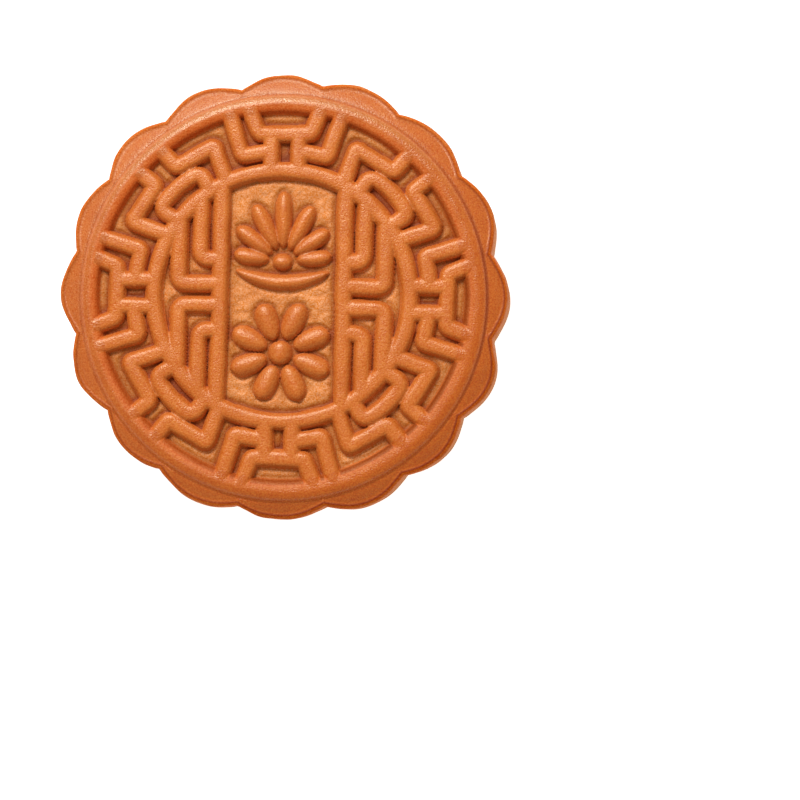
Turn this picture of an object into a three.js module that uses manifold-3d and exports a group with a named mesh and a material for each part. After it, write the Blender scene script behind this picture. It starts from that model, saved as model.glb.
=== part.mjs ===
// A baked mooncake in the traditional round, sixteen-petalled form: one solid cake whose crust carries the
// relief of the wooden mould it was pressed in. A ridge runs round the face inside the petals, a meander of
// raised cords fills the band between it and a smaller ring, and two bars divide the middle into a panel with
// two lotus flowers and a fret at each side.
// Millimetres, +Z up. The origin is the middle of the flat base, and +Y is the top of the pattern.

import * as THREE from "three";
import { mergeVertices } from "three/addons/utils/BufferGeometryUtils.js";
import Module from "manifold-3d";

const wasm = await Module();
wasm.setup();

// ---- The whole cake -------------------------------------------------------------------------------------

const degrees = Math.PI / 180;
const ACROSS_PETALS = 84.2; // from the tip of a petal to the tip of the one opposite
const HEIGHT = 30; // from the base to the highest cord
const PETALS = 16;
const PETAL_DEPTH = 2.25; // how far the outline draws in between two petals
const PETAL_TURN = 1.2 * degrees; // how far the petals are turned against the pattern

const TIP_RADIUS = ACROSS_PETALS / 2;
const VALLEY_RADIUS = TIP_RADIUS - PETAL_DEPTH;
const CORD_HEIGHT = 1.75; // of a cord above the floor of the pattern
const CROWN = 0.6; // how much higher the middle of the floor is than its edge
const FLOOR_EDGE = HEIGHT - CORD_HEIGHT - CROWN;
const SUNK = 0.4; // how far a cord's foot goes below the floor that it stands on

// ---- The pattern, in polar form -------------------------------------------------------------------------

const BORDER_FOOT = 33.95; // the border ridge's inner foot
const BORDER_CREST = 36.3;
const BORDER_LINE = 38.1; // the crease between the border ridge and the petals
const RING_RADIUS = 23.5; // middle line of the inner ring
const CORD_WIDTH = 3.36; // across a cord's foot
const OUTER_TURN = 30.7; // radius at which the outer cords of the meander turn
const INNER_TURN = 27.3; // and the inner ones
const ARCH_TURN = 27.8; // and the arches on the diagonals
const BORDER_SHIFT = [-0.2, -0.25]; // of the border's centre: a carved mould isn't quite true
const PATTERN_SHIFT = [-0.59, 0.08]; // and of the pattern's
const PATTERN_STRETCH = [1.019, 1.002]; // how much wider the pattern is each way than a true circle

const TRAY_ANGLE = 10.8; // at the border, in degrees on each side of a quarter's own axis
const TRAY_TURN_ANGLE = 9.1; // and where the tray turns
const HOOK_ANGLE = 17;
const POST_ANGLE = 4.7; // at the tray
const POST_RING_ANGLE = 6.2; // and at the ring, so that the two posts are parallel
const STEP_START_ANGLE = 4.7; // degrees on each side of a diagonal
const STEP_END_ANGLE = 19.8;
const STEP_RING_ANGLE = 17.9;
const ARCH_ANGLE = 10;
const ARCH_CORNER_ANGLE = 10.8;

// ---- The pattern inside the ring ------------------------------------------------------------------------

const BAR_X = 11.4;
const FRET_X = 15.1;
const FRET_Y = 6.6;
const OUTER_FRET_X = 18.9;
const OUTER_FRET_Y = 2;
const FRET_CORNER = 1.9; // radius of the frets' rounded corners
const FLOWER_Y = 10.4; // height of each flower's centre above or below the middle

// ---- Shapes ---------------------------------------------------------------------------------------------

const SEGMENTS_PER_PETAL = 8;
const FACE_SEGMENTS = 64;

// Radius of the petalled outline at an angle: each petal is an arc of a circle through its tip and the two
// valleys beside it, and the valleys are a little rounded.
function outline(angle) {
  const halfPetal = Math.PI / PETALS;
  const period = 2 * halfPetal;
  const turned = (((angle - PETAL_TURN) % period) + period) % period;
  const fromTip = Math.min(turned, period - turned);
  const valleyReach = VALLEY_RADIUS * Math.cos(halfPetal);
  const centre =
    (TIP_RADIUS ** 2 - VALLEY_RADIUS ** 2) / (2 * (TIP_RADIUS - valleyReach));
  const arcRadius = TIP_RADIUS - centre;
  const arc =
    centre * Math.cos(fromTip) +
    Math.sqrt(arcRadius ** 2 - (centre * Math.sin(fromTip)) ** 2);
  const rounding = 0.25 * Math.exp(-(((halfPetal - fromTip) / 0.035) ** 2));
  return arc + rounding;
}

// Height of the pattern's floor, which rises to the middle as baked dough does.
function floorHeight(x, y) {
  return FLOOR_EDGE + CROWN * (1 - (x * x + y * y) / BORDER_FOOT ** 2);
}

// A three.js geometry as a solid that can be joined.
function solid(geometry) {
  const bare = geometry.index ? geometry.toNonIndexed() : geometry.clone();
  bare.deleteAttribute("normal");
  bare.deleteAttribute("uv");
  const merged = mergeVertices(bare, 1e-4);
  const corners = merged.index.array;
  const kept = [];
  for (let i = 0; i < corners.length; i += 3) {
    const [a, b, c] = corners.slice(i, i + 3);
    if (a !== b && b !== c && c !== a) kept.push(a, b, c);
  }
  const mesh = new wasm.Mesh({
    numProp: 3,
    vertProperties: new Float32Array(merged.attributes.position.array),
    triVerts: new Uint32Array(kept),
  });
  return new wasm.Manifold(mesh);
}

// Moves every vertex of a geometry by a function of its place.
function reshape(geometry, move) {
  const position = geometry.getAttribute("position");
  const point = new THREE.Vector3();
  for (let i = 0; i < position.count; i++) {
    move(point.fromBufferAttribute(position, i));
    position.setXYZ(i, point.x, point.y, point.z);
  }
  return geometry;
}

// The petalled cake below the pattern: a lathe profile from the middle of the base, up the fluted side and
// over the petals. Each row has a radius at a petal's tip, a height, and the share of the petals' drawing-in
// that it follows. The last rows are inside the face, which covers them.
function petalledBody() {
  const rows = [
    [0, 0, 0],
    [TIP_RADIUS - 1.3, 0, 1],
    [TIP_RADIUS - 0.3, 0.4, 1],
    [TIP_RADIUS, 1.6, 1],
    [TIP_RADIUS - 0.1, 24, 1],
    [TIP_RADIUS - 0.4, 26.4, 1],
    [TIP_RADIUS - 0.9, 27, 1],
    [TIP_RADIUS - 1.5, 27.1, 1],
    [BORDER_LINE - 0.5, 28.2, 0],
    [BORDER_LINE - 3, FLOOR_EDGE - 1, 0],
    [0, FLOOR_EDGE - 0.9, 0],
  ];
  const followAt = new Map(rows.map(([r, z, follow]) => [z.toFixed(4), follow]));
  const profile = rows.map(([r, z]) => new THREE.Vector2(r, z));
  const lathe = new THREE.LatheGeometry(profile, PETALS * SEGMENTS_PER_PETAL);
  lathe.rotateX(Math.PI / 2);
  return reshape(lathe, (p) => {
    const radius = Math.hypot(p.x, p.y);
    const follow = followAt.get(Math.abs(p.z).toFixed(4)) ?? 0;
    if (radius < 1 || !follow) return;
    const drawnIn = follow * (TIP_RADIUS - outline(Math.atan2(p.y, p.x)));
    p.x *= (radius - drawnIn) / radius;
    p.y *= (radius - drawnIn) / radius;
  });
}

// The round face: the floor of the pattern, with the border ridge at its edge.
function face() {
  const borderTop = FLOOR_EDGE + CORD_HEIGHT;
  const rows = [
    [0, FLOOR_EDGE - 1.5],
    [BORDER_LINE, FLOOR_EDGE - 1.5],
    [BORDER_LINE, borderTop - 1.1],
    [BORDER_LINE - 0.6, borderTop - 0.4],
    [BORDER_CREST, borderTop],
    [BORDER_FOOT + 0.7, borderTop - 0.65],
    [BORDER_FOOT, FLOOR_EDGE],
    [BORDER_FOOT * 0.6, floorHeight(BORDER_FOOT * 0.6, 0)],
    [0, floorHeight(0, 0)],
  ];
  const profile = rows.map(([r, z]) => new THREE.Vector2(r, z));
  const lathe = new THREE.LatheGeometry(profile, FACE_SEGMENTS).rotateX(Math.PI / 2);
  return lathe.translate(...BORDER_SHIFT, 0);
}

// Points of a cord's rounded section, from one foot over the top to the other, as shares of its half-width
// and of its height. The foot is sunk, so that the cord joins the floor.
const SECTION = [
  [-1, 0],
  [-0.82, 0.72],
  [0, 1],
  [0.82, 0.72],
  [1, 0],
];

// A cord along a path of [x, y] points, mitred at its corners. Each point has its own share of the full
// width, so that a free end can be rounded or a leaf can swell.
function cord(path, halfWidth = CORD_WIDTH / 2, shares = path.map(() => 1)) {
  const section = new THREE.Shape([
    new THREE.Vector2(-1, -SUNK),
    ...SECTION.map(([u, v]) => new THREE.Vector2(u, v * CORD_HEIGHT)),
    new THREE.Vector2(1, -SUNK),
  ]);
  const spans = path.length - 1;
  const straight = new THREE.ExtrudeGeometry(section, {
    depth: spans,
    steps: spans,
    bevelEnabled: false,
  });
  const points = path.map(([x, y]) => new THREE.Vector2(x, y));
  const across = points.map((point, i) => {
    const before = points[Math.max(i - 1, 0)];
    const after = points[Math.min(i + 1, spans)];
    const arriving = point.clone().sub(before).normalize();
    const leaving = after.clone().sub(point).normalize();
    const along = arriving.clone().add(leaving).normalize();
    const reach = 1 / Math.max(i && i < spans ? along.dot(leaving) : 1, 0.5);
    return new THREE.Vector2(-along.y, along.x).multiplyScalar(reach);
  });
  return reshape(straight, (p) => {
    const i = Math.round(p.z);
    const low = p.y <= 0 ? p.y : p.y * Math.sqrt(shares[i]);
    const x = points[i].x + across[i].x * p.x * halfWidth * shares[i];
    const y = points[i].y + across[i].y * p.x * halfWidth * shares[i];
    p.set(x, y, floorHeight(x, y) + low);
  });
}

// A cord that closes on itself at one radius.
function ringCord(radius) {
  const half = CORD_WIDTH / 2;
  const base = floorHeight(radius, 0);
  const over = SECTION.map(
    ([u, v]) => new THREE.Vector2(radius + u * half, base + v * CORD_HEIGHT),
  );
  const outerFoot = new THREE.Vector2(radius + half, base - SUNK);
  const innerFoot = new THREE.Vector2(radius - half, base - SUNK);
  const profile = [innerFoot, outerFoot, ...over.reverse(), innerFoot];
  return new THREE.LatheGeometry(profile, FACE_SEGMENTS).rotateX(Math.PI / 2);
}

// A leaf-shaped pad between two points, rounded at both ends and widest at the given share of its length.
function pad([x0, y0], [x1, y1], halfWidth, widest = 0.55) {
  const steps = [0, 0.1, 0.35, 0.65, 0.9, 1];
  const shares = steps.map((t) => {
    const fromWidest = t < widest ? 1 - t / widest : (t - widest) / (1 - widest);
    return Math.max(Math.sqrt(1 - fromWidest ** 2), 0.3);
  });
  const path = steps.map((t) => [x0 + (x1 - x0) * t, y0 + (y1 - y0) * t]);
  return cord(path, halfWidth, shares);
}

const polar = (radius, angle) => [
  radius * Math.cos(angle * degrees),
  radius * Math.sin(angle * degrees),
];

// Moves a piece of the pattern to where the mould has it.
function placed(geometry) {
  return geometry.scale(...PATTERN_STRETCH, 1).translate(...PATTERN_SHIFT, 0);
}

// Rounds a right-angled corner of a path with an arc of short steps.
function rounded(from, corner, to) {
  const start = new THREE.Vector2(...corner).lerp(new THREE.Vector2(...from), 1);
  const towards = (end) =>
    new THREE.Vector2(...end).sub(new THREE.Vector2(...corner)).setLength(FRET_CORNER);
  const arrive = new THREE.Vector2(...corner).add(towards(from));
  const leave = new THREE.Vector2(...corner).add(towards(to));
  const bend = new THREE.QuadraticBezierCurve(arrive, new THREE.Vector2(...corner), leave);
  return [start, ...bend.getPoints(3), new THREE.Vector2(...to)].map((p) => [p.x, p.y]);
}

// ---- The meander between the border and the ring --------------------------------------------------------

function meander() {
  const cords = [];
  for (const axis of [0, 90, 180, 270]) {
    cords.push(
      cord([
        polar(BORDER_CREST, axis - TRAY_ANGLE),
        polar(OUTER_TURN, axis - TRAY_TURN_ANGLE),
        polar(OUTER_TURN, axis + TRAY_TURN_ANGLE),
        polar(BORDER_CREST, axis + TRAY_ANGLE),
      ]),
    );
    for (const side of [-1, 1]) {
      const hook = axis + side * HOOK_ANGLE;
      const post = axis + side * POST_ANGLE;
      const diagonal = axis + 45;
      cords.push(
        cord([polar(BORDER_CREST, hook), polar(INNER_TURN, hook), polar(INNER_TURN, post)]),
        cord([polar(OUTER_TURN - 0.4, post), polar(RING_RADIUS, axis + side * POST_RING_ANGLE)]),
        cord([
          polar(BORDER_CREST, diagonal + side * STEP_START_ANGLE),
          polar(OUTER_TURN, diagonal + side * STEP_START_ANGLE),
          polar(OUTER_TURN, diagonal + side * STEP_END_ANGLE),
          polar(RING_RADIUS, diagonal + side * STEP_RING_ANGLE),
        ]),
      );
    }
    cords.push(
      cord([
        polar(RING_RADIUS, axis + 45 - ARCH_ANGLE),
        polar(ARCH_TURN - 1.5, axis + 45 - ARCH_CORNER_ANGLE),
        polar(ARCH_TURN, axis + 45 - ARCH_CORNER_ANGLE + 3.5),
        polar(ARCH_TURN, axis + 45 + ARCH_CORNER_ANGLE - 3.5),
        polar(ARCH_TURN - 1.5, axis + 45 + ARCH_CORNER_ANGLE),
        polar(RING_RADIUS, axis + 45 + ARCH_ANGLE),
      ]),
    );
  }
  return cords;
}

// ---- The bars and frets inside the ring -----------------------------------------------------------------

function frets() {
  const reach = (x) => Math.sqrt(RING_RADIUS ** 2 - x * x);
  const cords = [];
  for (const side of [-1, 1]) {
    const bar = side * BAR_X;
    cords.push(cord([[bar, -reach(BAR_X)], [bar, reach(BAR_X)]]));
    for (const up of [-1, 1]) {
      for (const [x, y] of [[FRET_X, FRET_Y], [OUTER_FRET_X, OUTER_FRET_Y]]) {
        const corner = [side * x, up * y];
        cords.push(cord(rounded([side * x, up * reach(x)], corner, [bar, up * y])));
      }
    }
  }
  return cords;
}

// ---- The two lotus flowers in the panel -----------------------------------------------------------------

// A lotus seen from the side: a fan of petals round its seed pod, over one curved leaf.
function lotusFromSide(centreY) {
  const base = centreY - 4;
  const pads = [0, 27, -27, 54, -54, 82, -82].map((tilt) => {
    const [x, y] = polar(1, 90 + tilt);
    const length = 13.2 - 0.05 * Math.abs(tilt);
    return pad([2.6 * x, base + 2.6 * y], [length * x, base + length * y], 1.6, 0.62);
  });
  const along = [-1, -0.92, -0.6, -0.2, 0.2, 0.6, 0.92, 1];
  const leaf = along.map((t) => [8.6 * t, base - 3.8 + 2 * t * t]);
  const shares = along.map((t) => Math.max(Math.sqrt(1 - t * t), 0.3));
  return [...pads, pad([-1.8, base], [1.8, base], 1.5, 0.5), cord(leaf, 1.5, shares)];
}

// A lotus seen from above: eight petals round a boss.
function lotusFromAbove(centreY) {
  const pads = [pad([0, centreY - 2.2], [0, centreY + 2.2], 2.2, 0.5)];
  for (let i = 0; i < 8; i++) {
    const [x, y] = polar(1, 22.5 + 45 * i);
    pads.push(
      pad([2.7 * x, centreY + 2.7 * y], [9.6 * x, centreY + 9.6 * y], 2.05, 0.62),
    );
  }
  return pads;
}

// ---- The cake -------------------------------------------------------------------------------------------

const pattern = [
  ringCord(RING_RADIUS),
  ...meander(),
  ...frets(),
  ...lotusFromSide(FLOWER_Y),
  ...lotusFromAbove(-FLOWER_Y),
];
const relief = [face(), ...pattern.map(placed)];
const joined = relief.reduce((cake, piece) => cake.add(solid(piece)), solid(petalledBody()));
const surface = joined.getMesh();
const geometry = new THREE.BufferGeometry();
geometry.setAttribute("position", new THREE.BufferAttribute(surface.vertProperties, 3));
geometry.setIndex(new THREE.BufferAttribute(surface.triVerts, 1));
geometry.computeVertexNormals();

const crust = new THREE.MeshStandardMaterial({
  color: 0xd97a3c,
  roughness: 0.62,
  metalness: 0,
});
const mooncake = new THREE.Mesh(geometry, crust);
mooncake.name = "mooncake";

const part = new THREE.Group();
part.add(mooncake);

export default part;
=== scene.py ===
import math

import bpy
import mathutils
import numpy as np
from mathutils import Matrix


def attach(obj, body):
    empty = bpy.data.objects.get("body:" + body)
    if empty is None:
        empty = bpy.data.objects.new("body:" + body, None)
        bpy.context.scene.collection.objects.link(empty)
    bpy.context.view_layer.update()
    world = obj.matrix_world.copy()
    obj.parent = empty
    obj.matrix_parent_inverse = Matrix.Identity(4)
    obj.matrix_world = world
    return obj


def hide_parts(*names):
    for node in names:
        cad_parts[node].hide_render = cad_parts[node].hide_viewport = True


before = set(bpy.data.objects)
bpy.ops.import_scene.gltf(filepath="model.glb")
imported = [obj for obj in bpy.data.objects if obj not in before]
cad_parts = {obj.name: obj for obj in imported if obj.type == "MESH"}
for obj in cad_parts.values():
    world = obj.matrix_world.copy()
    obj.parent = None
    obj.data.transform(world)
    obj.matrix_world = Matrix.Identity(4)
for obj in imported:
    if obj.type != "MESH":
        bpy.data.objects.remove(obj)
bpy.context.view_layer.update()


# ---- The pressed cake ------------------------------------------------------------------------------------
# One piece of soft pastry dough round a firm paste, pressed in a carved wooden mould, turned out and baked.
# The mould leaves sixteen petals down the side, a border ridge, and a fret of raised cords on the face.

MM = 0.001  # sizes below are in millimetres, and angles in degrees unless they are turned to radians
PETALS = 16
TIP_RADIUS = 42.1
VALLEY_RADIUS = 39.85
PETAL_TURN = math.radians(1.2)
HEIGHT = 30.0
CORD_HEIGHT = 1.75
CORD_HALF = 1.68
CROWN = 0.6  # how far the floor's low dome rises in the middle
FLOOR_EDGE = HEIGHT - CORD_HEIGHT - CROWN
BORDER_FOOT = 34.15
BORDER_CREST = 36.2
BORDER_LINE = 38.1  # the crease where the border ends and the ledge starts
BORDER_SHIFT = (-0.2, -0.25)  # border and pattern were each cut a little off the mould's middle
PATTERN_SHIFT = (-0.59, 0.08)
PATTERN_STRETCH = (1.019, 1.002)

# The fret's middle lines: radii, and angles on each side of a main axis or of a diagonal.
RING_RADIUS = 23.5
CORD_END = 35.6  # the outer cords run in under the border
TRAY_RADIUS = 30.7
TRAY_END_ANGLE, TRAY_TURN_ANGLE = 10.8, 9.1
HOOK_RADIUS = 27.3
HOOK_ANGLE, HOOK_END_ANGLE = 17.0, 5.2
POST_ANGLE, POST_RING_ANGLE = 4.7, 6.2
STEP_RADIUS = 30.9
STEP_ANGLE, STEP_TURN_ANGLE, STEP_RING_ANGLE = 4.7, 19.8, 17.9
ARCH_RADIUS = 28.0
ARCH_ANGLE, ARCH_RING_ANGLE = 10.8, 10.0
CORNER_BEND, ARCH_BEND = 0.7, 2.4
BAR_X = 11.4
INNER_FRETS = [(15.1, 6.6, 1.8), (18.9, 2.0, 1.5)]  # each turns at (x, y), with its bend

# The two flowers. Petals run from an inner to an outer radius, and pods have a half-length or a radius.
FAN_Y = 6.4
FAN_TILTS = (0, 27, -27, 54, -54, 82, -82)
FAN_INNER, FAN_OUTER, FAN_PETAL_HALF = 2.6, 13.2, 1.6
FAN_POD_REACH, FAN_POD_HALF = 1.8, 1.5
CRESCENT_REACH, CRESCENT_HALF, CRESCENT_Y, CRESCENT_LIFT = 8.6, 1.5, 2.6, 2.0
CRESCENT_SLOPE = 0.465  # of its middle line at the tips
OPEN_Y = -10.4
OPEN_PETALS = 8
OPEN_INNER, OPEN_OUTER, OPEN_PETAL_HALF = 2.7, 9.6, 2.05
OPEN_POD_RADIUS = 2.2
PETAL_WIDEST = 0.62  # the share of a petal's length at which it is widest

# The hand-cut mould and the soft dough. Layers of noise are (strength, size).
WANDER = [(0.16, 9.0), (0.07, 3.5)]  # how far the cords stray from their places
WRINKLES = [(0.075, 1.2), (0.055, 0.55)]  # on the floors
SWELL = [(0.05, 4.0), (0.03, 1.6)]  # over the whole face
CORD_SQUARENESS = 3.5  # the power of the cords' superellipse
CORD_VARIES = 0.06  # as a share of its width
PLATEAU_START, PLATEAU_RAMP, PLATEAU_RISE = 0.62, 0.22, 0.22  # outwards from a cord's foot
MOAT_DEPTH = 0.1  # how far the floor lies lower along the feet
VALLEY_FILL, VALLEY_FILL_ANGLE = 0.25, 0.035  # the valleys between petals are rounded; in radians

# The border's profile as (distance, height): its rise from BORDER_FOOT, and its fall round BORDER_LINE.
BORDER_RISE = [(-0.12, 0), (0, 0.2), (0.1, 0.5), (0.2, 0.78), (0.35, 1.08), (0.52, 1.28), (0.74, 1.45),
               (0.95, 1.54), (1.2, 1.61), (1.5, 1.67), (1.8, 1.72), (2.1, 1.75)]
BORDER_FALL = [(-2.1, 1.78), (-1.9, 1.76), (-1.7, 1.73), (-1.5, 1.69), (-1.2, 1.6), (-0.9, 1.5),
               (-0.65, 1.38), (-0.4, 1.19), (-0.22, 1.0), (-0.1, 0.82), (0, 0.66), (0.1, 0.56), (0.3, 0.53)]


def polar(radius, angle):
    """The point at a radius and an angle in degrees."""
    return (radius * math.cos(math.radians(angle)), radius * math.sin(math.radians(angle)))


def reach(x):
    """Height of the inner ring's middle line above a point x of the cross line."""
    return math.sqrt(RING_RADIUS**2 - x * x)


def turned(corners, bend, steps=5):
    """A path whose inner corners are turned: each is replaced by a quadratic curve that starts and ends the
    given distance from it, or at the middle of a shorter run."""
    path = [corners[0]]
    for (ax, ay), (bx, by), (cx, cy) in zip(corners[:-2], corners[1:-1], corners[2:]):
        back = min(bend / math.hypot(ax - bx, ay - by), 0.5)
        on = min(bend / math.hypot(cx - bx, cy - by), 0.5)
        start = (bx + (ax - bx) * back, by + (ay - by) * back)
        end = (bx + (cx - bx) * on, by + (cy - by) * on)
        for k in range(steps):
            t = k / (steps - 1)
            path.append(tuple((1 - t) ** 2 * s + 2 * t * (1 - t) * b + t * t * e
                              for s, b, e in zip(start, (bx, by), end)))
    return path + [corners[-1]]


def fret_cords():
    """Every cord of the fret as a path of corners: four trays with their hooks and posts on the main axes,
    four arches with their steps on the diagonals, and the bars and frets within the ring."""
    cords = []
    for axis in (0, 90, 180, 270):
        diagonal = axis + 45
        tray = [polar(CORD_END, axis - TRAY_END_ANGLE), polar(TRAY_RADIUS, axis - TRAY_TURN_ANGLE),
                polar(TRAY_RADIUS, axis + TRAY_TURN_ANGLE), polar(CORD_END, axis + TRAY_END_ANGLE)]
        cords.append(turned(tray, CORNER_BEND))
        for side in (-1, 1):
            hook = [polar(CORD_END, axis + side * HOOK_ANGLE), polar(HOOK_RADIUS, axis + side * HOOK_ANGLE),
                    polar(HOOK_RADIUS - 0.1, axis + side * HOOK_END_ANGLE)]
            post = [polar(TRAY_RADIUS - 0.3, axis + side * POST_ANGLE),
                    polar(RING_RADIUS, axis + side * POST_RING_ANGLE)]
            step = [polar(CORD_END, diagonal + side * STEP_ANGLE),
                    polar(STEP_RADIUS, diagonal + side * STEP_ANGLE),
                    polar(STEP_RADIUS - 0.2, diagonal + side * STEP_TURN_ANGLE),
                    polar(RING_RADIUS, diagonal + side * STEP_RING_ANGLE)]
            cords += [turned(hook, CORNER_BEND), post, turned(step, CORNER_BEND)]
        arch = [polar(RING_RADIUS, diagonal - ARCH_RING_ANGLE),
                polar(ARCH_RADIUS - 0.2, diagonal - ARCH_ANGLE), polar(ARCH_RADIUS, diagonal),
                polar(ARCH_RADIUS - 0.2, diagonal + ARCH_ANGLE),
                polar(RING_RADIUS, diagonal + ARCH_RING_ANGLE)]
        cords.append(turned(arch, ARCH_BEND, 7))
    for side in (-1, 1):
        cords.append([(side * BAR_X, -reach(BAR_X)), (side * BAR_X, reach(BAR_X))])
        for up in (-1, 1):
            for x, y, bend in INNER_FRETS:
                fret = [(side * x, up * reach(x)), (side * x, up * y), (side * BAR_X, up * y)]
                cords.append(turned(fret, bend))
    return cords


def flower_pads():
    """The two lotus flowers as leaf-shaped pads: start, end, half-width, and where each is widest. The upper
    one is seen from the side, a fan of petals round its seed pod, and the lower from above."""
    pads = []
    for tilt in FAN_TILTS:
        dx, dy = polar(1, 90 + tilt)
        outer = FAN_OUTER - 0.05 * abs(tilt)
        inner_end = (FAN_INNER * dx, FAN_Y + FAN_INNER * dy)
        outer_end = (outer * dx, FAN_Y + outer * dy)
        pads.append((inner_end, outer_end, FAN_PETAL_HALF, PETAL_WIDEST))
    pads.append(((-FAN_POD_REACH, FAN_Y), (FAN_POD_REACH, FAN_Y), FAN_POD_HALF, 0.5))
    pads.append(((0, OPEN_Y - OPEN_POD_RADIUS), (0, OPEN_Y + OPEN_POD_RADIUS), OPEN_POD_RADIUS, 0.5))
    for i in range(OPEN_PETALS):
        dx, dy = polar(1, (i + 0.5) * 360 / OPEN_PETALS)
        inner_end = (OPEN_INNER * dx, OPEN_INNER * dy + OPEN_Y)
        outer_end = (OPEN_OUTER * dx, OPEN_OUTER * dy + OPEN_Y)
        pads.append((inner_end, outer_end, OPEN_PETAL_HALF, PETAL_WIDEST))
    return pads


def cloud(x, y, size, seed):
    """Smooth noise from -1 to 1: random values on a square lattice of the given size in millimetres, joined
    by a smoothstep between neighbours."""
    lattice = np.random.RandomState(seed).uniform(-1, 1, (128, 128))
    u, v = x / size + 64.3, y / size + 64.7
    i, j = np.floor(u).astype(int), np.floor(v).astype(int)
    s, t = u - i, v - j
    s, t = s * s * (3 - 2 * s), t * t * (3 - 2 * t)
    i0, i1, j0, j1 = i % 128, (i + 1) % 128, j % 128, (j + 1) % 128
    low = lattice[i0, j0] * (1 - s) + lattice[i1, j0] * s
    high = lattice[i0, j1] * (1 - s) + lattice[i1, j1] * s
    return low * (1 - t) + high * t


def layered_cloud(x, y, layers, seed):
    """The sum of layers of noise, given as (strength, size), each with the next seed."""
    return sum(strength * cloud(x, y, size, seed + k) for k, (strength, size) in enumerate(layers))


def from_path(x, y, path):
    """Distance of each point to a path of straight runs: the least distance to any of its runs."""
    nearest = np.full(x.shape, 1e9)
    for (ax, ay), (bx, by) in zip(path[:-1], path[1:]):
        dx, dy = bx - ax, by - ay
        t = np.clip(((x - ax) * dx + (y - ay) * dy) / (dx * dx + dy * dy), 0, 1)
        nearest = np.minimum(nearest, np.hypot(x - ax - t * dx, y - ay - t * dy))
    return nearest


def along(distance, profile):
    """The value at a distance, on straight runs between a profile's (distance, value) pairs."""
    places, values = zip(*profile)
    return np.interp(distance, places, values)


def bell(distance, width):
    """1 at no distance, falling to nothing on both sides within about two widths."""
    return np.exp(-((distance / width) ** 2))


def pad_height(x, y, pad):
    """Relief of a leaf-shaped pad, from 0 to 1: half an ellipse across it, whose width and height both fall
    to nothing along an ellipse towards each end. Also the distance outside its edge."""
    (ax, ay), (bx, by), half, widest = pad
    length = math.hypot(bx - ax, by - ay)
    dx, dy = (bx - ax) / length, (by - ay) / length
    onward = ((x - ax) * dx + (y - ay) * dy) / length
    across = np.abs((y - ay) * dx - (x - ax) * dy)
    part = np.where(onward < widest, (widest - onward) / widest, (onward - widest) / (1 - widest))
    round_off = np.sqrt(np.clip(1 - part**2.4, 0, 1))
    share = np.clip(1 - (across / (half * np.maximum(round_off, 1e-3))) ** 2, 0, 1)
    outside = np.hypot(np.maximum(across - half * round_off, 0),
                       np.maximum(np.maximum(-onward, onward - 1) * length, 0))
    return np.sqrt(share) * np.sqrt(round_off), outside


def crescent_height(x, y):
    """Relief of the crescent leaf under the fan, from 0 to 1: half an ellipse across a parabola, whose width
    and height fall to nothing along an ellipse towards its tips. Also the distance outside its edge."""
    part = np.clip(x / CRESCENT_REACH, -1, 1)
    round_off = np.sqrt(np.clip(1 - part**2, 0, 1))
    off_middle = np.abs(y - (CRESCENT_Y + CRESCENT_LIFT * part**2))
    across = off_middle * np.cos(np.arctan(CRESCENT_SLOPE * part))
    half = np.maximum(CRESCENT_HALF * round_off, 1e-3)
    height = np.sqrt(np.clip(1 - (across / half) ** 2, 0, 1)) * np.sqrt(round_off)
    outside = np.hypot(np.maximum(across - half, 0), np.maximum(np.abs(x) - CRESCENT_REACH, 0))
    return np.where(np.abs(x) < CRESCENT_REACH, height, 0), outside


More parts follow.
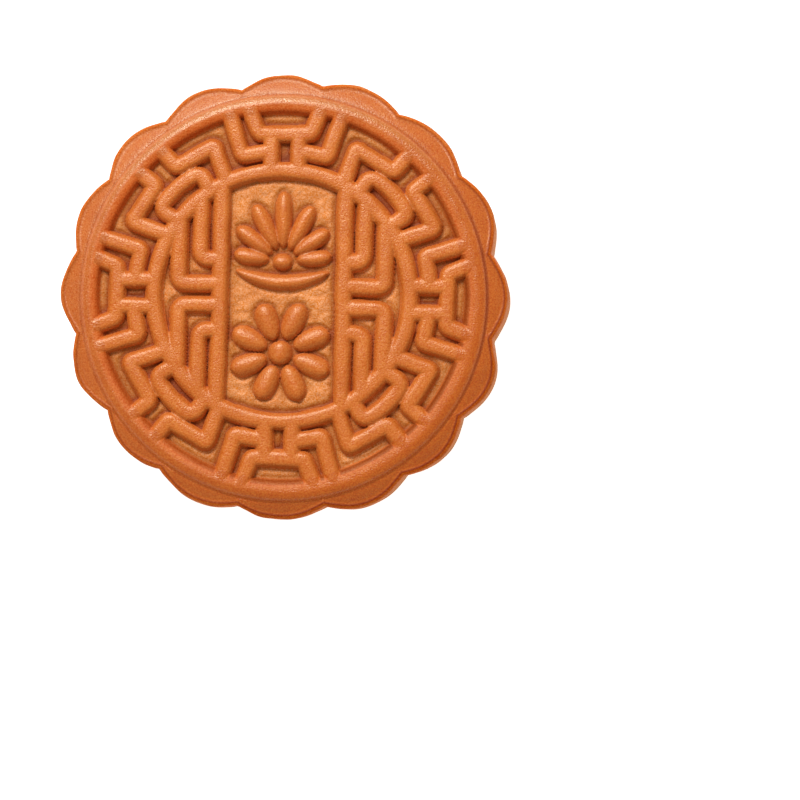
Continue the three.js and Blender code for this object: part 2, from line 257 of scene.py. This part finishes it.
def face_form(x, y):
    """Height of the face over a point, and the share of a cord's height that it reaches there. The floor is
    a low dome with a crumpled plateau between the feet. Each cord is a superellipse over its distance from
    the middle line, and the highest of floor, cords, ring, flowers and border wins."""
    # The hand-cut pattern wanders a little, in long waves and short ones, and its cords vary in width.
    wander_x = layered_cloud(x, y, WANDER, 1)
    wander_y = layered_cloud(x, y, WANDER, 3)
    px = (x - PATTERN_SHIFT[0]) / PATTERN_STRETCH[0] + wander_x
    py = (y - PATTERN_SHIFT[1]) / PATTERN_STRETCH[1] + wander_y
    middle = np.abs(np.hypot(px, py) - RING_RADIUS)
    for path in fret_cords():
        middle = np.minimum(middle, from_path(px, py, path))
    half = CORD_HALF * (1 + CORD_VARIES * cloud(x, y, 5.0, 5))
    cord = np.clip(1 - (middle / half) ** CORD_SQUARENESS, 0, 1) ** 0.5
    foot = np.maximum(middle - half, 0)
    flowers = [pad_height(px, py, pad) for pad in flower_pads()] + [crescent_height(px, py)]
    for height, outside in flowers:
        cord = np.maximum(cord, height)
        foot = np.minimum(foot, outside)

    # The border takes over where the cords run in under it.
    r_in = np.hypot(x - PATTERN_SHIFT[0], y - PATTERN_SHIFT[1]) + 0.5 * wander_x
    r_out = np.hypot(x - BORDER_SHIFT[0], y - BORDER_SHIFT[1])
    rise = along(r_in - BORDER_FOOT, BORDER_RISE)
    border = np.minimum(rise, along(r_out - BORDER_LINE, BORDER_FALL))
    foot = np.where(r_in > BORDER_FOOT, 0, np.minimum(foot, BORDER_FOOT - r_in))
    cord = np.where(r_out < BORDER_CREST, cord, 0)
    relief = np.maximum(cord * CORD_HEIGHT, border) / CORD_HEIGHT

    # The floor is crumpled where the dough lifted from the mould, most of all in the middle panel.
    floor = FLOOR_EDGE + CROWN * np.clip(1 - (r_in / BORDER_FOOT) ** 2, 0, 1)
    plateau_edge = PLATEAU_START + 0.18 * cloud(x, y, 2.5, 10)
    plateau = PLATEAU_RISE * np.clip((foot - plateau_edge) / PLATEAU_RAMP, 0, 1) - MOAT_DEPTH
    in_panel = np.clip((BAR_X - np.abs(x)) / 1.5, 0, 1) * (r_in < RING_RADIUS)
    wrinkle = layered_cloud(x, y, WRINKLES, 6) * (1 + 0.9 * in_panel) * np.clip(foot / 0.8, 0, 1)
    on_floor = np.clip(1 - relief * 2.5, 0, 1)
    swell = layered_cloud(x, y, SWELL, 8)

    # What is shown as relief rises steadily over the border, so that its colours run across it.
    ridge = along(r_in - BORDER_FOOT, [(-0.1, 0), (0, 0.2), (2.2, 1.0)])
    shown = np.where(r_in > BORDER_FOOT - 0.1, np.maximum(cord, ridge), relief)
    return floor + relief * CORD_HEIGHT + (wrinkle + plateau) * on_floor + swell, shown


# How far each valley stands off its even place, in degrees, and each petal's tip and valley off their mean
# radius, going round from the right: no two petals come out of the mould quite alike.
VALLEY_TURN = np.radians([0.8, 1.2, 2.0, 1.2, 0.8, 0.6, 0.2, -1.0,
                          -1.2, -1.2, -2.4, -1.6, -0.4, 0.0, -0.6, -0.2])
VALLEY_OFF = np.array([-0.5, 0.05, 0.4, 0.1, -0.2, 0.0, -0.05, 0.2,
                       -0.05, -0.4, -0.1, 0.15, -0.1, 0.15, -0.05, -0.4])
TIP_OFF = np.array([-0.1, 0.0, 0.0, 0.05, -0.1, 0.05, 0.15, 0.0,
                    0.5, 0.25, -0.25, -0.05, -0.25, 0.15, 0.0, 0.1])


def outline(angle):
    """Radius of the petalled outline at an angle: each petal is an arc of one circle through its tip and the
    valleys beside it, stretched between its own two valleys, and each valley is rounded by a narrow bell."""
    half_petal = math.pi / PETALS
    valley = np.arange(-1, PETALS + 1)
    valley_at = half_petal * (2 * valley + 1) + np.take(VALLEY_TURN, valley, mode="wrap")
    swung = np.mod(angle + half_petal, 2 * math.pi) - half_petal
    petal = np.clip(np.searchsorted(valley_at, swung) - 1, 0, PETALS)
    before, after = valley_at[petal], valley_at[petal + 1]
    share = (swung - before) / (after - before)
    from_tip = np.abs(share - 0.5) * 2 * half_petal
    valley_reach = VALLEY_RADIUS * math.cos(half_petal)
    centre = (TIP_RADIUS**2 - VALLEY_RADIUS**2) / (2 * (TIP_RADIUS - valley_reach))
    arc_radius = TIP_RADIUS - centre
    arc = centre * np.cos(from_tip) + np.sqrt(arc_radius**2 - (centre * np.sin(from_tip)) ** 2)
    valley_off = np.where(share < 0.5, VALLEY_OFF[(petal - 1) % PETALS], VALLEY_OFF[petal % PETALS])
    near_tip = np.cos((share - 0.5) * math.pi) ** 2
    off = TIP_OFF[petal % PETALS] * near_tip + valley_off * (1 - near_tip)
    return arc + off + VALLEY_FILL * bell(half_petal - from_tip, VALLEY_FILL_ANGLE)


def disc_grid(cells, radii):
    """A square grid of cells drawn out to a disc: ring k of the square, counted from the middle, becomes a
    circle of radius radii[k], with its points evenly spaced. Gives x, y, the faces, and the outer circle's
    points in order of angle."""
    half = cells // 2
    i, j = np.meshgrid(np.arange(-half, half + 1), np.arange(-half, half + 1), indexing="ij")
    ring = np.maximum(np.abs(i), np.abs(j))
    quarter = np.where(np.abs(i) >= np.abs(j), np.where(i >= 0, 0, 2), np.where(j >= 0, 1, 3))
    offset = np.choose(quarter, [j, -i, -j, i]) / np.maximum(ring, 1)
    angle = (quarter + offset / 2) * (math.pi / 2)
    radius = np.asarray(radii)[ring]
    x, y = radius * np.cos(angle), radius * np.sin(angle)
    index = np.arange((cells + 1) ** 2).reshape(cells + 1, cells + 1)
    a, b = index[:-1, :-1].ravel(), index[1:, :-1].ravel()
    c, d = index[1:, 1:].ravel(), index[:-1, 1:].ravel()
    low_i, low_j = np.meshgrid(np.arange(-half, half), np.arange(-half, half), indexing="ij")
    slope = ((low_i + 0.5) * (low_j + 0.5) > 0).ravel()
    one = np.where(slope[:, None], np.stack([a, b, c], 1), np.stack([a, b, d], 1))
    two = np.where(slope[:, None], np.stack([a, c, d], 1), np.stack([b, c, d], 1))
    edge = index[ring == half]
    edge = edge[np.argsort(np.mod(angle[ring == half] + 1e-9, 2 * math.pi))]
    return x.ravel(), y.ravel(), np.concatenate([one, two]), edge


def band(upper, lower):
    """Triangles between two closed rows of points: two to each run where the rows have as many points, and
    three to each lower run where the lower row has half as many."""
    lower_next = np.roll(lower, -1)
    if len(upper) == len(lower):
        return np.concatenate([np.stack([upper, lower, lower_next], 1),
                               np.stack([upper, lower_next, np.roll(upper, -1)], 1)])
    first, middle, last = upper[::2], upper[1::2], np.roll(upper, -2)[::2]
    return np.concatenate([np.stack([first, lower, middle], 1), np.stack([middle, lower, lower_next], 1),
                           np.stack([middle, lower_next, last], 1)])


# The face is a disc of rings, which lie closest together over the inner ring and over the border.
FACE_CELLS = 272
FACE_RADIUS = 38.4
RING_PLACES = [(0, 0), (77, 21.7), (83, RING_RADIUS), (89, 25.3), (120, 33.9), (127, 35.7),
               (134.5, BORDER_LINE), (136, FACE_RADIUS)]
ring_radii = along(np.arange(FACE_CELLS // 2 + 1), RING_PLACES)
face_x, face_y, face_triangles, face_edge = disc_grid(FACE_CELLS, ring_radii)
face_x, face_y = face_x + BORDER_SHIFT[0], face_y + BORDER_SHIFT[1]
face_z, face_relief = face_form(face_x, face_y)

# The ledge slopes from the border's crease to its edge, and the wall goes down from there to the flat base.
LEDGE_TOP = 28.18
LEDGE_EDGE = 27.0
LEDGE_SLOPE, LEDGE_BEND = 0.36, 0.07  # its fall for each millimetre outwards, and for each one squared
LEDGE_END = 1.5  # how far within the outline the ledge starts to turn down
COLUMNS = 2 * FACE_CELLS
SIDE_ROWS = np.array([
    # share of the way from crease to outline, distance within the outline, drop from the edge, how far the
    # row follows the ledge's slope, and how dark glaze and painted shade lie there
    [0.2, 1.5, 0.0, 1.0, 0.0],
    [0.4, 1.5, 0.0, 1.0, 0.0],
    [0.6, 1.5, 0.0, 1.0, 0.0],
    [0.8, 1.5, 0.0, 1.0, 0.0],
    [0.95, 1.45, 0.0, 1.0, 0.0],
    [1.0, 1.3, -0.02, 1.0, 0.3],
    [1.0, 1.12, -0.03, 1.0, 0.9],
    [1.0, 0.95, -0.04, 1.0, 1.2],
    [1.0, 0.8, -0.07, 1.0, 0.8],
    [1.0, 0.66, -0.14, 1.0, 0.15],
    [1.0, 0.5, -0.28, 1.0, -0.2],
    [1.0, 0.34, -0.58, 1.0, -0.1],
    [1.0, 0.24, -1.05, 0.98, -0.1],
    [1.0, 0.17, -1.7, 0.94, -0.1],
    [1.0, 0.13, -2.8, 0.86, -0.1],
    [1.0, 0.1, -4.6, 0.7, -0.1],
    [1.0, 0.08, -7.0, 0.5, -0.1],
    [1.0, 0.07, -9.6, 0.3, -0.1],
    [1.0, 0.07, -12.3, 0.1, -0.1],
    [1.0, 0.07, -15.0, 0.0, -0.1],
    [1.0, 0.07, -17.5, 0.0, -0.1],
    [1.0, 0.07, -20.0, 0.0, -0.1],
    [1.0, 0.07, -22.0, 0.0, -0.1],
    [1.0, 0.06, -23.4, 0.0, -0.1],
    [1.0, 0.03, -24.3, 0.0, -0.1],
    [1.0, 0.0, -25.0, 0.0, -0.1],
    [1.0, 0.02, -25.6, 0.0, -0.1],
    [1.0, 0.1, -26.2, 0.0, -0.1],
    [1.0, 0.3, -26.65, 0.0, -0.1],
    [1.0, 0.7, -26.92, 0.0, -0.1],
    [1.0, 1.3, -27.0, 0.0, -0.1],
    [1.0, 2.4, -27.0, 0.0, -0.1],
])
angles = np.arange(COLUMNS) * (2 * math.pi / COLUMNS) - math.pi / 4
share, within, drop, follow, edge_glaze_and_shade = [SIDE_ROWS[:, k, None] for k in range(5)]
edge_r = outline(angles - PETAL_TURN)[None, :]
crease_r = FACE_RADIUS + BORDER_SHIFT[0] * np.cos(angles) + BORDER_SHIFT[1] * np.sin(angles)
side_r = crease_r * (1 - share) + (edge_r - within) * share
ledge_run = np.minimum(side_r, edge_r - LEDGE_END) - crease_r
ledge_z = LEDGE_TOP - LEDGE_SLOPE * ledge_run - LEDGE_BEND * ledge_run**2
side_z = LEDGE_EDGE + drop + follow * (ledge_z - LEDGE_EDGE)
on_wall = (drop < -0.5) & (drop > -26.5)
wall_waver = 0.12 * cloud(angles * 14, side_z * 0.5, 1.0, 11) * np.clip(side_z / 6, 0, 1)
side_r = side_r + wall_waver * on_wall
side_x, side_y = side_r * np.cos(angles), side_r * np.sin(angles)
side_z = side_z + 0.05 * cloud(side_x, side_y, 5.0, 12) * (drop > -1)

# The flat base closes in rings: the radius of each, and how many of the side's columns share one point.
BASE_RINGS = [(37.0, 2), (35.0, 4), (28.0, 4), (20.0, 4), (12.0, 4), (5.0, 4)]
n_face, n_side = len(face_x), side_r.size
side_index = n_face + np.arange(n_side).reshape(side_r.shape)
base_x, base_y, base_index = [], [], []
pole = n_face + n_side
for radius, thinning in BASE_RINGS:
    base_x.append(radius * np.cos(angles[::thinning]))
    base_y.append(radius * np.sin(angles[::thinning]))
    base_index.append(pole + np.arange(COLUMNS // thinning))
    pole += COLUMNS // thinning
points_x = np.concatenate([face_x, side_x.ravel(), *base_x, [0.0]])
points_y = np.concatenate([face_y, side_y.ravel(), *base_y, [0.0]])
points_z = np.concatenate([face_z, side_z.ravel(), np.zeros(pole + 1 - n_face - n_side)])

# The face's edge starts at the side's first column, and every row is joined to the next one down.
edge_angle = np.arctan2(face_y[face_edge], face_x[face_edge])
first = int(np.argmin(np.mod(edge_angle + math.pi / 4 + 1e-6, 2 * math.pi)))
rows = [np.roll(face_edge, -first), *side_index, *base_index]
innermost = base_index[-1]
closing = np.stack([innermost, np.full(len(innermost), pole), np.roll(innermost, -1)], 1)
triangles = np.concatenate([face_triangles, *[band(a, b) for a, b in zip(rows[:-1], rows[1:])], closing])

crust_mesh = bpy.data.meshes.new("crust")
crust_mesh.vertices.add(len(points_x))
crust_mesh.vertices.foreach_set("co", (np.stack([points_x, points_y, points_z], 1) * MM).ravel())
crust_mesh.loops.add(triangles.size)
crust_mesh.loops.foreach_set("vertex_index", triangles.ravel().astype(np.int32))
crust_mesh.polygons.add(len(triangles))
crust_mesh.polygons.foreach_set("loop_start", np.arange(0, triangles.size, 3, dtype=np.int32))
crust_mesh.update(calc_edges=True)
crust_mesh.validate()
crust_mesh.polygons.foreach_set("use_smooth", np.ones(len(triangles), bool))
crust_mesh.update()


def soften(grid, times):
    """A grid with each value replaced, so many times, by the mean of itself and its four neighbours."""
    for _ in range(times):
        wide = np.pad(grid, 1, mode="edge")
        grid = (grid + wide[2:, 1:-1] + wide[:-2, 1:-1] + wide[1:-1, 2:] + wide[1:-1, :-2]) / 5
    return grid


def facing(direction, towards):
    """1 for a direction that points towards an angle in degrees, falling as the cosine to 0 beside it."""
    return np.clip(np.cos(direction - math.radians(towards)), 0, 1)


# What the oven and the egg wash did to each place, with painted light and shade, is kept on the points.
# First, where each point lies.
face_grid = face_z.reshape(FACE_CELLS + 1, FACE_CELLS + 1)
relief_grid = np.clip(face_relief, 0, 1).reshape(face_grid.shape)
n_rest = len(points_x) - n_face
px, py = face_x - PATTERN_SHIFT[0], face_y - PATTERN_SHIFT[1]
pattern_r = np.hypot(px, py)
around = np.arctan2(points_y, points_x)
from_line = np.hypot(face_x - BORDER_SHIFT[0], face_y - BORDER_SHIFT[1]) - BORDER_LINE
outer_flank = np.clip((from_line + 1.5) / 0.5, 0, 1) * np.clip((-0.1 - from_line) / 0.3, 0, 1)
lit_flank = outer_flank * np.clip(1.6 * np.cos(around[:n_face] - math.radians(95)) - 0.3, 0, 1)
shoulder = bell(pattern_r - BORDER_FOOT - 1.5, 0.25)
crease = np.concatenate([bell(from_line + 0.14, 0.32), np.zeros(n_rest)])
crease *= 1 - 0.75 * facing(around, 125)

# The small closed cells of the fret: between two posts on a main axis, under an arch on a diagonal, and
# within the ring on both sides of the panel. Then the floors by the border at the lower right, which lie in
# the border's shade and are painted lighter.
POST_CELL_RADIUS, POST_CELL_HALF = 27.1, 2.2
ARCH_CELL_RADIUS, ARCH_CELL_HALF, ARCH_CELL_SPREAD = 25.7, 1.7, 5.4
INNER_CELL_X, INNER_CELL_RADIUS = 12.6, 22.6
post_cell = np.minimum(np.abs(px), np.abs(py)) < POST_CELL_HALF
post_cell &= np.abs(pattern_r - POST_CELL_RADIUS) < POST_CELL_HALF
arch_cell = np.abs(np.abs(px) - np.abs(py)) < ARCH_CELL_SPREAD
arch_cell &= np.abs(pattern_r - ARCH_CELL_RADIUS) < ARCH_CELL_HALF
inner_cell = (np.abs(px) > INNER_CELL_X) & (pattern_r < INNER_CELL_RADIUS)
painted_light_lower_right = facing(around[:n_face], -62) ** 2 * np.clip((pattern_r - 24.0) / 2.0, 0, 1)

# Painted light and shade round the cords' cast shadows, looking towards the key lamp's azimuth: a floor with
# a cord between it and the lamp is painted lighter, and one with a cord just beyond it, away from the lamp,
# darker.
SHADOW_FILL_ANGLE, SHADOW_FILL_REACH = 109, 1.1
SHADOW_FILL_SOFTENING, CELL_SOFTENING, HOLLOW_SOFTENING = 8, 46, 14  # how many times each grid is softened
lamp_step_x, lamp_step_y = polar(SHADOW_FILL_REACH, SHADOW_FILL_ANGLE)
before = face_form(face_x + lamp_step_x, face_y + lamp_step_y)[1]
after = face_form(face_x - lamp_step_x, face_y - lamp_step_y)[1]
painted_shadow_fill = soften(np.clip(before - after, -1, 1).reshape(face_grid.shape), SHADOW_FILL_SOFTENING).ravel()

# "relief" is the share of a cord's height.
relief = np.concatenate([face_relief, np.ones(n_rest)])

# 'crowding' is how closely raised parts stand round a place: narrow cells are darker, as gathered glaze and
# as painted shade, though of the cells under the arches only those at the upper right and lower left are
# darker.
# It is lowered, so painted lighter, in the cords' cast shadows and by the border at the lower right, and
# raised just before a cord's lit face.
arch_cell_darkening = np.where(px * py > 0, 0.42, np.where(py < 0, -0.3, -0.22))
floor_crowding = soften(relief_grid, CELL_SOFTENING).ravel() + 0.32 * post_cell + arch_cell_darkening * arch_cell
floor_crowding -= 0.12 * inner_cell + 0.15 * painted_light_lower_right + 0.4 * painted_shadow_fill
crowding = np.concatenate([floor_crowding, np.ones(n_rest)])

# 'hollow' is how far a point lies below the mean of what is round it: grooves, feet and the border's crease
# are darkened by it, as gathered glaze and as painted shade. The crease is darkened most at the right, and
# next to none at the bottom or the upper left. It is lowered in the cords' cast shadows and by the border at
# the lower right.
face_hollow = (soften(face_grid, HOLLOW_SOFTENING) - face_grid).ravel()
face_hollow -= np.maximum(0.2 * inner_cell, 0.2 * painted_light_lower_right) + 0.3 * np.clip(painted_shadow_fill, 0, 1)
# The dark line round the petals' edge is painted: glaze and painted shade, darkest at the lower right.
side_hollow = edge_glaze_and_shade * (0.65 + 0.35 * np.cos(angles + math.radians(55)))
hollow = np.concatenate([face_hollow, side_hollow.ravel(), np.full(n_rest - n_side, -0.1)])
hollow += (0.42 + 0.4 * np.minimum(np.sin(around), 0) + 0.5 * facing(around, 0) ** 4) * crease

# 'pale' is how far the side's paler colour shows: on the wall and on the base, and a little on the border's
# outer flank that faces the lamp, where it is a painted highlight.
below_edge = np.clip((26.9 - side_z) / 1.1, 0, 1)
wall_pale = below_edge * (0.5 + 0.5 * np.clip((24 - side_z) / 22, 0, 1) ** 1.2)
pale_and_highlight = np.concatenate([0.36 * lit_flank, wall_pale.ravel(), np.ones(n_rest - n_side)])

# 'rim' is 1 on the border and outside it, and 'hot' is 1 at the lower right, where the rim is coloured
# darkest.
rim = np.concatenate([np.clip((pattern_r - BORDER_FOOT + 0.05) / 0.3, 0, 1), np.ones(n_rest)])
darkest_at_lower_right = 0.5 + 0.5 * np.cos(around + math.radians(45))

# "sheen" is how glossy the egg wash is: most on what stands up, none down the side or on the base.
face_sheen = (0.3 + 0.5 * np.clip(relief / 0.8, 0, 1)) * (1 - rim)
rim_sheen = 0.33 + 0.62 * np.clip((relief - 0.8) / 0.2, 0, 1)
rim_sheen[:n_face] += 0.2 * shoulder
sheen = face_sheen + rim_sheen * rim * (1 - 0.9 * crease)
sheen[:n_face] += 0.25 * lit_flank
ledge_sheen = 0.84 * np.clip((within - 0.9) / 0.4, 0, 1) * (1 - 0.22 * facing(angles, 150))
sheen *= np.concatenate([np.ones(n_face), ledge_sheen.ravel(), np.zeros(n_rest - n_side)])

marks = {"relief": relief, "hollow": hollow, "crowding": crowding, "pale_and_highlight": pale_and_highlight, "rim": rim, "darkest_at_lower_right": darkest_at_lower_right,
         "sheen": sheen}
for name, values in marks.items():
    crust_mesh.attributes.new(name, "FLOAT", "POINT").data.foreach_set("value", values.astype(np.float32))

crust = bpy.data.objects.new("crust", crust_mesh)
bpy.context.scene.collection.objects.link(crust)

# The crust's finish: golden brown where it stands up, yellower on the open floors, dark red-brown at the
# feet of the cords and in grooves, as gathered glaze and painted shade, with a fine sandy grain partly
# painted as glints, and a soft sheen of egg wash.
baked = bpy.data.materials.new("baked_crust")
baked.use_nodes = True
nodes, links = baked.node_tree.nodes, baked.node_tree.links
shader = nodes["Principled BSDF"]
where = nodes.new("ShaderNodeTexCoord")


def noise(size_mm, detail=2.0, rough=0.5):
    """A noise pattern whose blobs are about that many millimetres across, as a factor."""
    node = nodes.new("ShaderNodeTexNoise")
    node.inputs["Scale"].default_value = 1000.0 / size_mm
    node.inputs["Detail"].default_value = detail
    node.inputs["Roughness"].default_value = rough
    links.new(where.outputs["Object"], node.inputs["Vector"])
    return node.outputs["Fac"]


def ramp(value, stops):
    """A value carried through a list of (place, colour or grey) stops."""
    node = nodes.new("ShaderNodeValToRGB")
    links.new(value, node.inputs["Fac"])
    elements = node.color_ramp.elements
    while len(elements) < len(stops):
        elements.new(0.5)
    for element, (place, colour) in zip(elements, stops):
        element.position = place
        element.color = (colour, colour, colour, 1) if isinstance(colour, float) else (*colour, 1)
    return node.outputs["Color"]


def mix(factor, first, second, blend="MIX"):
    """Two colours mixed, by a factor that is a socket or a number."""
    node = nodes.new("ShaderNodeMix")
    node.data_type = "RGBA"
    node.blend_type = blend
    for socket, value in zip((node.inputs["Factor"], node.inputs["A"], node.inputs["B"]),
                             (factor, first, second)):
        if isinstance(value, bpy.types.NodeSocket):
            links.new(value, socket)
        elif isinstance(value, tuple):
            socket.default_value = (*value, 1)
        else:
            socket.default_value = value
    return node.outputs["Result"]


def attribute(name):
    """A value kept on the mesh's points."""
    node = nodes.new("ShaderNodeAttribute")
    node.attribute_name = name
    return node.outputs["Fac"]


def span(value, low, high, first=0.0, last=1.0):
    """A value carried from the range low to high onto first to last, and held at both ends."""
    node = nodes.new("ShaderNodeMapRange")
    links.new(value, node.inputs["Value"])
    node.inputs["From Min"].default_value = low
    node.inputs["From Max"].default_value = high
    node.inputs["To Min"].default_value = first
    node.inputs["To Max"].default_value = last
    return node.outputs["Result"]


# Gathered glaze, which also stands for painted shade in grooves, at the feet and in the crease.
GLAZE_AND_SHADE = (0.285, 0.042, 0.0048)
FLOOR_BY_CROWDING = [(0.0, (0.78, 0.29, 0.042)), (0.28, (0.53, 0.180, 0.017)),
                     (0.58, (0.385, 0.101, 0.0055)), (0.84, (0.29, 0.060, 0.0045)),
                     (1.0, (0.21, 0.042, 0.0035))]
CORD_BY_HEIGHT = [(0.0, (0.60, 0.148, 0.013)), (0.3, (0.62, 0.162, 0.015)), (0.5, (0.63, 0.170, 0.014)),
                  (0.85, (0.62, 0.152, 0.008)), (1.0, (0.67, 0.162, 0.008))]
PALE_RIM_BY_HEIGHT = [(0.0, (0.42, 0.078, 0.005)), (0.5, (0.64, 0.120, 0.007)),
                      (0.8, (0.67, 0.147, 0.009)), (1.0, (0.57, 0.134, 0.009))]
# On the darker side the border's inner flank is darkest at its foot; the bright stop at 0.65 is a painted
# highlight along its shoulder.
DARK_RIM_AND_HIGHLIGHT_BY_HEIGHT = [(0.0, (0.20, 0.034, 0.002)), (0.35, (0.30, 0.057, 0.003)),
                      (0.52, (0.38, 0.080, 0.004)), (0.65, (0.64, 0.146, 0.012)),
                      (0.78, (0.60, 0.132, 0.006)), (0.93, (0.60, 0.122, 0.003)),
                      (1.0, (0.59, 0.117, 0.003))]
SIDE_TONES = [(0.3, (0.54, 0.235, 0.075)), (0.7, (0.47, 0.185, 0.05))]
MOTTLE = [(0.3, (1.05, 1.08, 1.1)), (0.7, (0.94, 0.88, 0.8))]
FACE_SPECKLE_AND_GLINTS = [(0.34, (0.89, 0.64, 0.0)), (0.68, (1.11, 1.41, 4.8))]
SIDE_SPECKLE = [(0.34, (0.9, 0.84, 0.7)), (0.68, (1.1, 1.16, 1.3))]
ROUGHNESS_BY_SHEEN = [(0.0, 0.7), (0.8, 0.41), (1.0, 0.34)]

rim_colour = mix(attribute("darkest_at_lower_right"), ramp(attribute("relief"), PALE_RIM_BY_HEIGHT),
                 ramp(attribute("relief"), DARK_RIM_AND_HIGHLIGHT_BY_HEIGHT))
colour = mix(attribute("rim"), ramp(attribute("relief"), CORD_BY_HEIGHT), rim_colour)
floor_colour = ramp(attribute("crowding"), FLOOR_BY_CROWDING)
colour = mix(span(attribute("relief"), 0.02, 0.2), floor_colour, colour)
colour = mix(span(attribute("hollow"), 0.15, 1.1), colour, GLAZE_AND_SHADE)
colour = mix(1.0, colour, ramp(noise(6.0, 3.0), MOTTLE), "MULTIPLY")
# The sandy grain: its pale specks, strongest in blue, are partly painted glints of the egg wash.
colour = mix(1.0, colour, ramp(noise(0.28, 1.5, 0.6), FACE_SPECKLE_AND_GLINTS), "MULTIPLY")
side_tone = ramp(noise(5.0, 3.0), SIDE_TONES)
side_tone = mix(1.0, side_tone, ramp(noise(0.28, 1.5, 0.6), SIDE_SPECKLE), "MULTIPLY")
links.new(mix(attribute("pale_and_highlight"), colour, side_tone), shader.inputs["Base Color"])

glint = ramp(noise(0.9, 2.0), [(0.3, 1.0), (0.7, 0.85)])
roughness = mix(1.0, ramp(attribute("sheen"), ROUGHNESS_BY_SHEEN), glint, "MULTIPLY")
links.new(roughness, shader.inputs["Roughness"])
links.new(span(attribute("sheen"), 0.0, 0.8, 0.05, 0.85), shader.inputs["Specular IOR Level"])
shader.inputs["Specular Tint"].default_value = (0.95, 0.95, 0.75, 1)

grain = nodes.new("ShaderNodeBump")
grain.inputs["Strength"].default_value = 0.85
grain.inputs["Distance"].default_value = 0.00012
links.new(noise(0.3, 1.5, 0.6), grain.inputs["Height"])
links.new(grain.outputs["Normal"], shader.inputs["Normal"])
crust_mesh.materials.append(baked)

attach(crust, "root")
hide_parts("mooncake")


# ---- The table and the studio ----------------------------------------------------------------------------
# A wide white board under soft light: one big panel high at the top of the pattern and a little to its left,
# and an even warm surround. Sizes here are in metres.

BOARD_HALF = 3.0
BOARD_TOP = -0.0002
board_mesh = bpy.data.meshes.new("board")
board_mesh.from_pydata([(x * BOARD_HALF, y * BOARD_HALF, BOARD_TOP)
                        for x, y in ((-1, -1), (1, -1), (1, 1), (-1, 1))], [], [(0, 1, 2, 3)])
floor = bpy.data.objects.new("board", board_mesh)
bpy.context.scene.collection.objects.link(floor)
board_white = bpy.data.materials.new("board_white")
board_white.use_nodes = True
board_shader = board_white.node_tree.nodes["Principled BSDF"]
board_shader.inputs["Base Color"].default_value = (0.8, 0.8, 0.8, 1)
board_shader.inputs["Roughness"].default_value = 0.9
board_shader.inputs["Emission Color"].default_value = (0.95, 0.97, 1, 1)
board_shader.inputs["Emission Strength"].default_value = 0.95
board_mesh.materials.append(board_white)

world = bpy.data.worlds.new("surround")
world.use_nodes = True
world.node_tree.nodes["Background"].inputs["Color"].default_value = (1, 0.87, 0.68, 1)
world.node_tree.nodes["Background"].inputs["Strength"].default_value = 0.36
bpy.context.scene.world = world


def panel_light(name, azimuth, elevation, distance, size, power):
    """A square panel of light aimed at the cake from an azimuth and an elevation in degrees."""
    data = bpy.data.lights.new(name, "AREA")
    data.shape = "SQUARE"
    data.size = size
    data.energy = power
    lamp = bpy.data.objects.new(name, data)
    bpy.context.scene.collection.objects.link(lamp)
    a, e = math.radians(azimuth), math.radians(elevation)
    direction = np.array([math.cos(a) * math.cos(e), math.sin(a) * math.cos(e), math.sin(e)])
    lamp.location = tuple(direction * distance + np.array([0, 0, 0.02]))
    lamp.rotation_euler = (math.pi / 2 - e, 0, a + math.pi / 2)


panel_light("key_panel", azimuth=109, elevation=50, distance=1.4, size=0.55, power=18.5)

# The camera looks down on the face from the front right, turned a little about its own line of sight.
camera_data = bpy.data.cameras.new("camera")
camera = bpy.data.objects.new("camera", camera_data)
bpy.context.scene.collection.objects.link(camera)
bpy.context.scene.camera = camera
camera_data.sensor_width = 36
camera_data.lens = 169.3
eye = np.array([0.0463, -0.0222, 0.73])
aim = np.array([0.0217, -0.0187, 0.02])
back = (eye - aim) / np.linalg.norm(eye - aim)
turn = math.radians(1.36)
side_way = np.cross(np.array([-math.sin(turn), math.cos(turn), 0.0]), back)
side_way /= np.linalg.norm(side_way)
up_way = np.cross(back, side_way)
camera.matrix_world = mathutils.Matrix(
    [(side_way[k], up_way[k], back[k], eye[k]) for k in range(3)] + [(0, 0, 0, 1)])
bpy.context.scene.view_settings.view_transform = "Standard"
